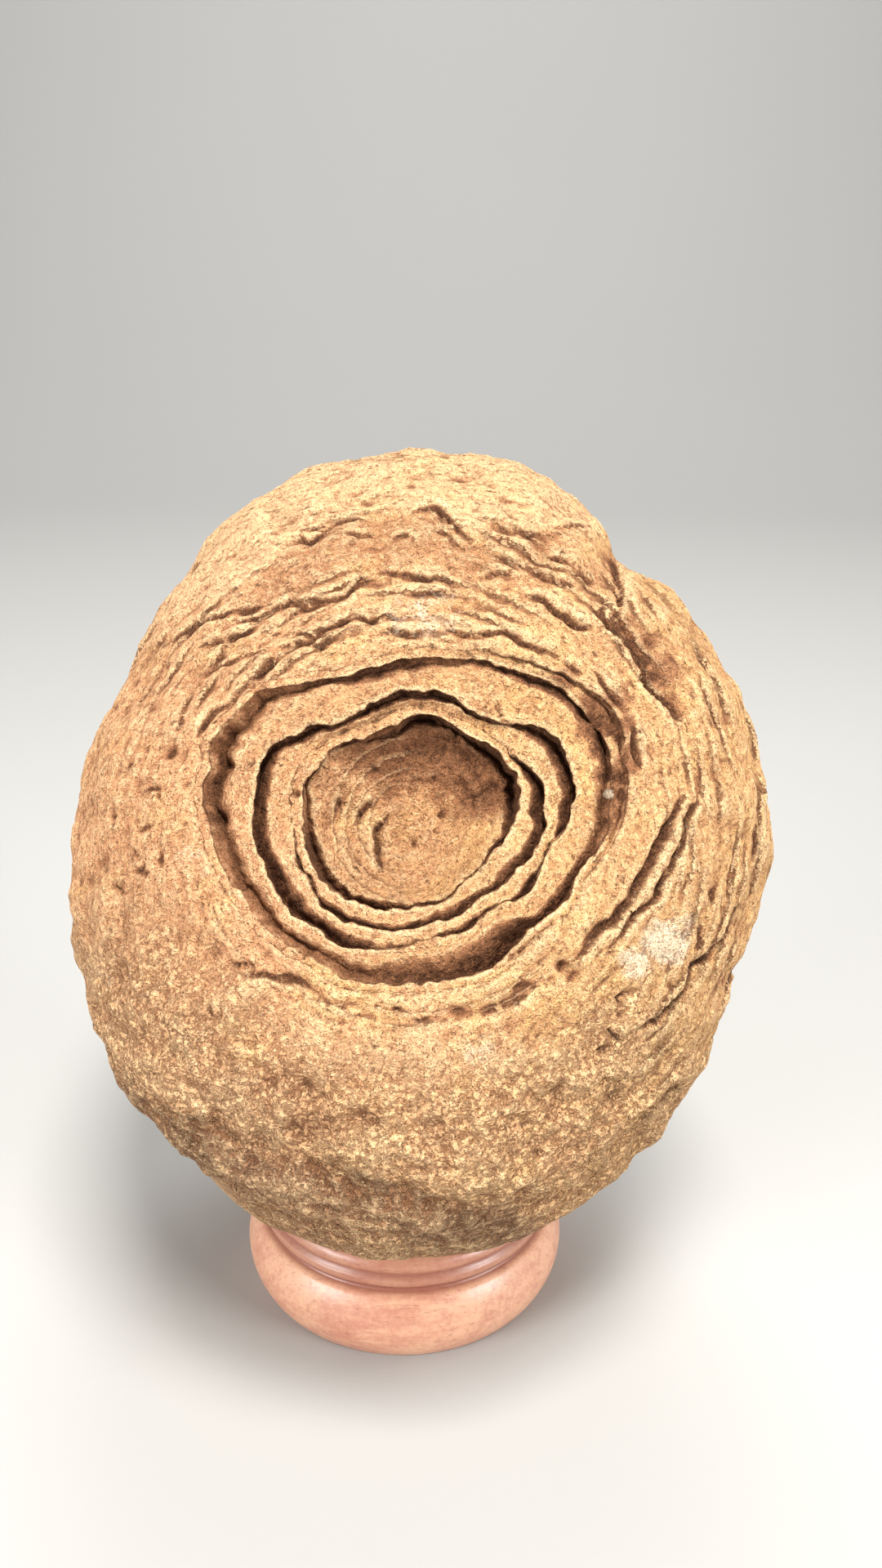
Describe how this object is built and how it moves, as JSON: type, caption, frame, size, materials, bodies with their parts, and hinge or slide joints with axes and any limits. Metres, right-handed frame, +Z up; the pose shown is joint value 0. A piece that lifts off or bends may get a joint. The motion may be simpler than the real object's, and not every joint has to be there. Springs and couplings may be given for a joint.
{
  "type": "stromatolite on stand",
  "caption": "Rounded fossil stromatolite stone, its front worn into a bowl of nested ragged shells, resting loose in the lip of a turned wooden ring stand.",
  "frame": {"origin": "on the floor under the centre of the ring stand, which is also the middle of the object's footprint", "axes": "+Z up; the stone's bowl faces -Y and a little up, so +Y runs to the back; +X to the right when the bowl is looked at"},
  "size_m": [0.119, 0.1191, 0.1529],
  "materials": {
    "layered_stone": "dry, granular and matt; warm ochre sandstone look with brown hollows",
    "turned_wood": "reddish-brown turned hardwood with a satin oiled sheen"
  },
  "bodies": {
    "root": {"stromatolite": "layered_stone", "ring_stand": "turned_wood"}
  },
  "joints": []
}
